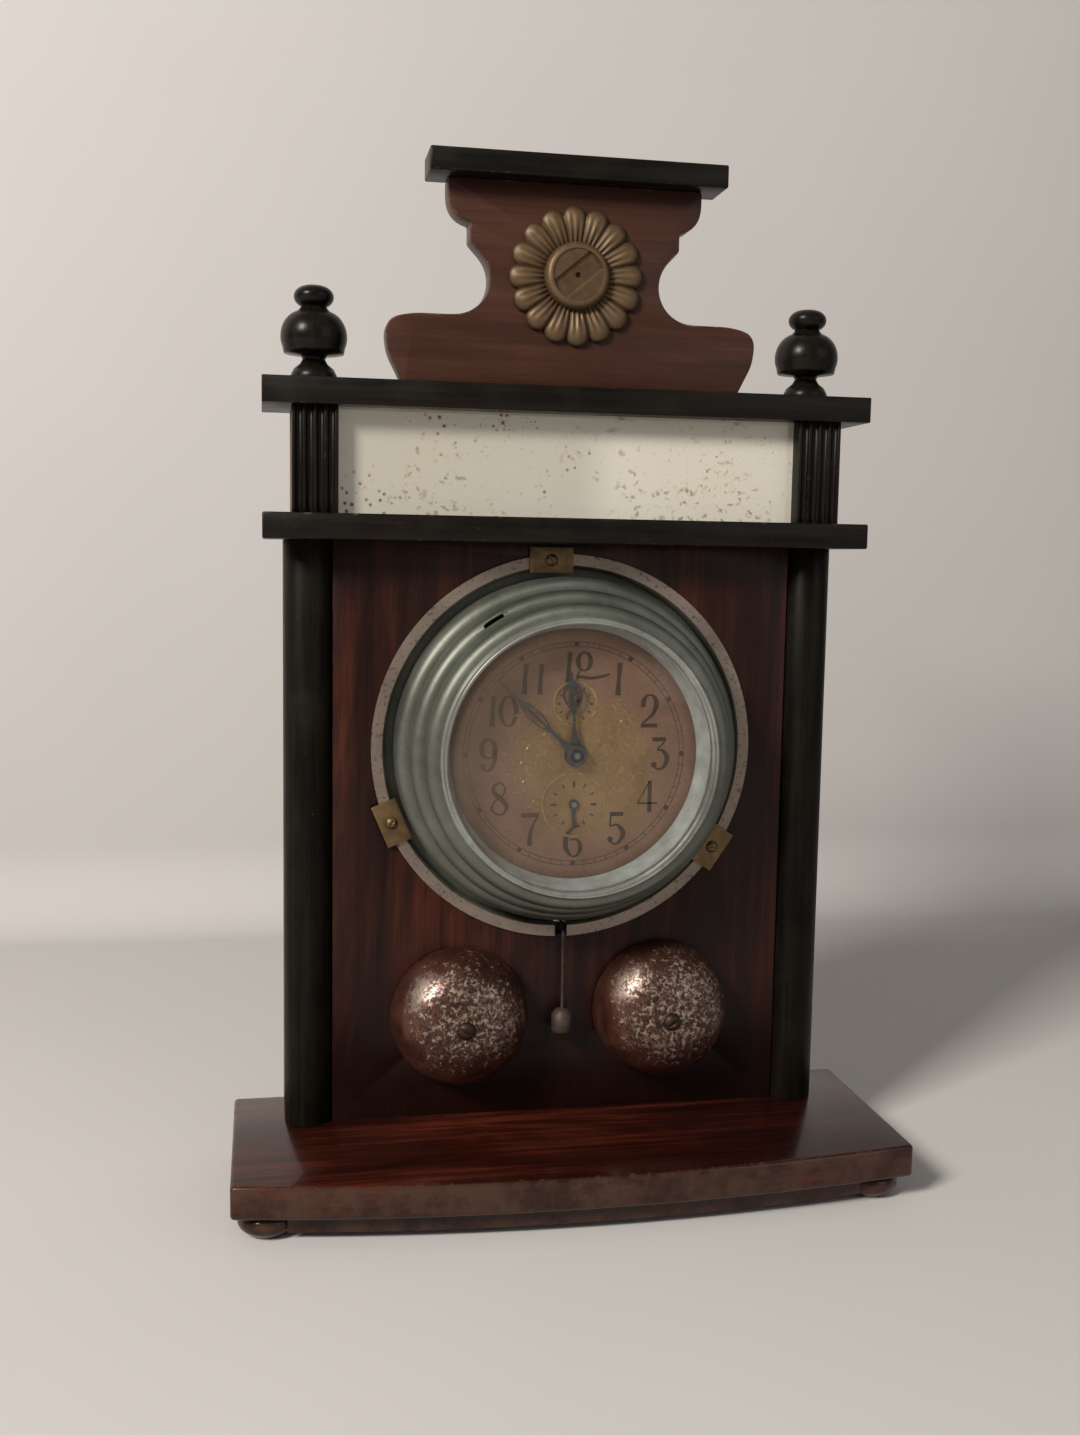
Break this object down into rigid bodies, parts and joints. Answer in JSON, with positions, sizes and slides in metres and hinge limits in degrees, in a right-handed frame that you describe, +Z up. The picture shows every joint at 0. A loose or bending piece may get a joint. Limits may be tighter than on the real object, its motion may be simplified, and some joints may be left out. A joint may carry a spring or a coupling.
{
  "type": "table clock",
  "caption": "Wooden table alarm clock: tall case with corner columns, mirror frieze, scroll crest, round spun-metal drum with dial, and two front gongs with a wire hammer.",
  "frame": {"origin": "on the standing surface, under the middle of the base's footprint", "axes": "+X to the right seen from the front, +Y to the back, +Z up; the dial faces -Y"},
  "size_m": [0.246, 0.093, 0.3749],
  "materials": {
    "mahogany": "dark red-brown veneer, satin",
    "base_wood": "polished red-brown wood with worn edges",
    "crest_wood": "brown wood, satin, grain across",
    "ebonised": "black ebonised wood, satin, worn at edges",
    "inner_wood": "plain unpolished softwood",
    "mirror": "silvered glass with age spots",
    "gilt": "aged gilt composition",
    "drum_metal": "aged nickel, satin with greenish grey tarnish",
    "cover_metal": "tinned sheet, dull",
    "glass": "clear, slightly hazed",
    "bevel_metal": "silvered, satin",
    "dial_metal": "copper pink lacquer with a gilt centre",
    "clip_brass": "dull sheet brass",
    "dark_screw": "browned steel",
    "brass": "lacquered brass",
    "steel": "drawn steel",
    "hand_steel": "blued steel, dulled",
    "gong_steel": "nickel worn to brown rust, speckled"
  },
  "bodies": {
    "case": {"base_plate": "base_wood", "base_moulding": "base_wood", "bun_feet": "base_wood", "front_panel": "mahogany", "side_left": "mahogany", "side_right": "mahogany", "column_left": "ebonised", "column_right": "ebonised", "lower_cornice": "ebonised", "upper_cornice": "ebonised", "pilasters": "ebonised", "frieze_sides": "inner_wood", "mirror": "mirror", "mirror_board": "inner_wood", "crest_board": "crest_wood", "crest_cap": "ebonised", "rosette": "gilt", "finials": "ebonised", "drum_case": "drum_metal", "bezel": "drum_metal", "glass": "glass", "bevel_ring": "bevel_metal", "dial": "dial_metal", "back_cover": "cover_metal", "clips": "clip_brass", "clip_screws": "dark_screw", "front_plate": "brass", "back_plate": "brass", "pillars": "brass", "time_spring": "steel", "hairspring": "steel", "alarm_spring": "steel", "gong_left": "gong_steel", "gong_right": "gong_steel", "gong_posts": "steel", "gong_screws": "dark_screw", "hammer_bracket": "brass"},
    "minute_work": {"centre_arbor": "steel", "minute_hand": "hand_steel", "time_set_knob": "brass"},
    "hour_work": {"hour_wheel": "brass", "hour_hand": "hand_steel"},
    "motion_wheel": {"minute_wheel": "brass"},
    "alarm_disc": {"alarm_wheel": "brass"},
    "alarm_work": {"alarm_arbor": "steel", "alarm_hand": "hand_steel", "alarm_set_knob": "brass"},
    "seconds_work": {"seconds_wheel": "brass", "seconds_hand": "hand_steel"},
    "third_work": {"third_wheel": "brass"},
    "centre_work": {"centre_wheel": "brass"},
    "great_work": {"great_wheel": "brass"},
    "escape_work": {"escape_wheel": "brass"},
    "lever": {"pallet_lever": "steel"},
    "balance": {"balance_wheel": "brass"},
    "time_winder": {"time_key": "steel"},
    "alarm_winder": {"alarm_key": "steel"},
    "alarm_great_work": {"alarm_great_wheel": "brass"},
    "alarm_escape_work": {"alarm_escape_wheel": "brass"},
    "striker": {"hammer": "steel"}
  },
  "joints": [
    {"name": "minute_spin", "type": "hinge", "parent": "case", "child": "minute_work", "pos_m": [0, 0.015, 0.1627], "axis": [0, 1, 0], "continuous": true},
    {"name": "hour_spin", "type": "hinge", "parent": "case", "child": "hour_work", "pos_m": [0, 0.015, 0.1627], "axis": [0, 1, 0], "continuous": true},
    {"name": "motion_spin", "type": "hinge", "parent": "case", "child": "motion_wheel", "pos_m": [-0.01156, 0.015, 0.1627], "axis": [0, 1, 0], "continuous": true},
    {"name": "alarm_disc_spin", "type": "hinge", "parent": "case", "child": "alarm_disc", "pos_m": [0, 0.015, 0.1442], "axis": [0, 1, 0], "continuous": true},
    {"name": "alarm_set_spin", "type": "hinge", "parent": "case", "child": "alarm_work", "pos_m": [0, 0.015, 0.1442], "axis": [0, 1, 0], "continuous": true},
    {"name": "seconds_spin", "type": "hinge", "parent": "case", "child": "seconds_work", "pos_m": [0, 0.015, 0.1812], "axis": [0, 1, 0], "continuous": true},
    {"name": "third_spin", "type": "hinge", "parent": "case", "child": "third_work", "pos_m": [0.01483, 0.015, 0.1729], "axis": [0, 1, 0], "continuous": true},
    {"name": "centre_spin", "type": "hinge", "parent": "case", "child": "centre_work", "pos_m": [0, 0.015, 0.1627], "axis": [0, 1, 0], "continuous": true},
    {"name": "great_spin", "type": "hinge", "parent": "case", "child": "great_work", "pos_m": [-0.01903, 0.015, 0.15382], "axis": [0, 1, 0], "continuous": true},
    {"name": "escape_spin", "type": "hinge", "parent": "case", "child": "escape_work", "pos_m": [-0.01034, 0.015, 0.18988], "axis": [0, 1, 0], "continuous": true},
    {"name": "lever_rock", "type": "hinge", "parent": "case", "child": "lever", "pos_m": [-0.01952, 0.015, 0.19518], "axis": [0, 1, 0], "range_deg": [-5, 5]},
    {"name": "balance_swing", "type": "hinge", "parent": "case", "child": "balance", "pos_m": [-0.02814, 0.015, 0.18742], "axis": [0, 1, 0], "range_deg": [-150, 150], "stiffness_Nm_per_rad": 0.000008},
    {"name": "time_wind", "type": "hinge", "parent": "case", "child": "time_winder", "pos_m": [-0.01903, 0.015, 0.15382], "axis": [0, 1, 0], "continuous": true},
    {"name": "alarm_wind", "type": "hinge", "parent": "case", "child": "alarm_winder", "pos_m": [0.023, 0.015, 0.1392], "axis": [0, 1, 0], "continuous": true},
    {"name": "alarm_great_spin", "type": "hinge", "parent": "case", "child": "alarm_great_work", "pos_m": [0.023, 0.015, 0.1392], "axis": [0, 1, 0], "continuous": true},
    {"name": "alarm_escape_spin", "type": "hinge", "parent": "case", "child": "alarm_escape_work", "pos_m": [0.00816, 0.015, 0.12993], "axis": [0, 1, 0], "continuous": true},
    {"name": "hammer_swing", "type": "hinge", "parent": "case", "child": "striker", "pos_m": [0, 0.022, 0.1025], "axis": [0, 1, 0], "range_deg": [-11, 11]}
  ],
  "couplings": [
    {"joint": "hour_spin", "follows": "minute_spin", "ratio": 0.083333},
    {"joint": "motion_spin", "follows": "minute_spin", "ratio": -0.33333},
    {"joint": "alarm_disc_spin", "follows": "minute_spin", "ratio": -0.083333},
    {"joint": "third_spin", "follows": "seconds_spin", "ratio": -0.13333},
    {"joint": "centre_spin", "follows": "seconds_spin", "ratio": 0.016667},
    {"joint": "great_spin", "follows": "seconds_spin", "ratio": -0.0027778},
    {"joint": "escape_spin", "follows": "seconds_spin", "ratio": -8},
    {"joint": "alarm_escape_spin", "follows": "alarm_great_spin", "ratio": -6}
  ]
}
